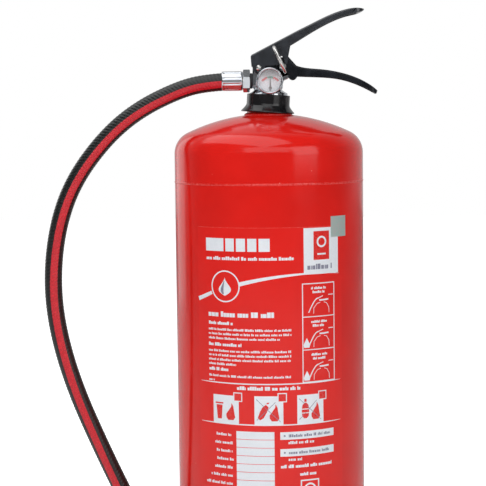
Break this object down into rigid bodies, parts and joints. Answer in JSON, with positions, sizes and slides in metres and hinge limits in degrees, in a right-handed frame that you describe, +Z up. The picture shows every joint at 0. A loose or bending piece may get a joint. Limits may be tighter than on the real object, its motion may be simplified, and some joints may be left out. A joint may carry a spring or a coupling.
{
  "type": "fire extinguisher",
  "caption": "Cylindrical stored-pressure water fire extinguisher with squeeze-grip valve, pressure gauge, pull-ring safety pin, side hose and nozzle parked at its moulded foot.",
  "frame": {"origin": "where the vessel's axis meets the floor", "axes": "+Z up along the vessel's axis, +X towards the grips, -X towards the hose, -Y towards the gauge and label"},
  "size_m": [0.3219, 0.187, 0.6183],
  "materials": {
    "red_paint": "gloss",
    "weld_paint": "gloss",
    "black_paint": "satin",
    "chrome_plate": "polished",
    "bright_steel": "satin",
    "crimp_steel": "polished",
    "gland_brass": "satin",
    "collar_plastic": "gloss",
    "foot_plastic": "satin",
    "nozzle_plastic": "satin",
    "siphon_plastic": "satin",
    "seal_rubber": "matte",
    "hose_rubber": "satin",
    "printed_film": "gloss",
    "silver_foil": "satin",
    "dial_face": "satin",
    "needle_paint": "satin",
    "clear_window": "polished"
  },
  "bodies": {
    "extinguisher": {"top_dome": "red_paint", "barrel_shell": "red_paint", "bottom_dome": "red_paint", "upper_weld": "weld_paint", "lower_weld": "weld_paint", "neck_ring": "red_paint", "neck_weld": "weld_paint", "foot_ring": "foot_plastic", "label_sheet": "printed_film", "seal_sticker": "silver_foil", "valve_body": "chrome_plate", "valve_collar": "collar_plastic", "neck_o_ring": "seal_rubber", "stem_gland": "gland_brass", "stem_packing": "seal_rubber", "valve_spring": "bright_steel", "siphon_adaptor": "gland_brass", "siphon_tube": "siphon_plastic", "siphon_strainer": "siphon_plastic", "carry_handle": "black_paint", "pivot_rivet": "bright_steel", "handle_rivet": "bright_steel", "gauge_stem": "gland_brass", "gauge_seal": "seal_rubber", "gauge_case": "chrome_plate", "gauge_bezel": "chrome_plate", "gauge_lens": "clear_window", "gauge_dial": "dial_face", "bourdon_coil": "gland_brass", "outlet_washer": "seal_rubber", "hose_nut": "chrome_plate", "hose_tail": "gland_brass", "hose_ferrule": "crimp_steel", "hose": "hose_rubber", "nozzle_ferrule": "crimp_steel", "nozzle_body": "nozzle_plastic", "nozzle_tip": "gland_brass"},
    "lever": {"squeeze_lever": "black_paint"},
    "stem": {"valve_stem": "bright_steel", "stem_seal": "seal_rubber"},
    "pin": {"safety_pin": "bright_steel"},
    "ring": {"pull_ring": "bright_steel"},
    "needle": {"gauge_needle": "needle_paint"}
  },
  "joints": [
    {"name": "lever_squeeze", "type": "hinge", "parent": "extinguisher", "child": "lever", "pos_m": [-0.0085, 0, 0.5631], "axis": [0, 1, 0], "range_deg": [0, 14]},
    {"name": "stem_travel", "type": "slide", "parent": "extinguisher", "child": "stem", "axis": [0, 0, -1], "range_m": [0, 0.003], "stiffness_N_per_m": 1500, "springref_m": -0.01, "deforming": ["valve_spring"]},
    {"name": "pin_pull", "type": "slide", "parent": "extinguisher", "child": "pin", "axis": [0, -1, 0], "range_m": [0, 0.04]},
    {"name": "ring_swing", "type": "hinge", "parent": "pin", "child": "ring", "pos_m": [0.0139, -0.018, 0.5636], "axis": [0.3386, -0.549, -0.7641], "range_deg": [-40, 20]},
    {"name": "needle_turn", "type": "hinge", "parent": "extinguisher", "child": "needle", "pos_m": [0.0022, -0.0229, 0.544], "axis": [0, 1, 0], "range_deg": [-46, 46], "stiffness_Nm_per_rad": 0.00002}
  ],
  "couplings": [
    {"joint": "stem_travel", "follows": "lever_squeeze", "m_per_rad": 0.0122}
  ]
}
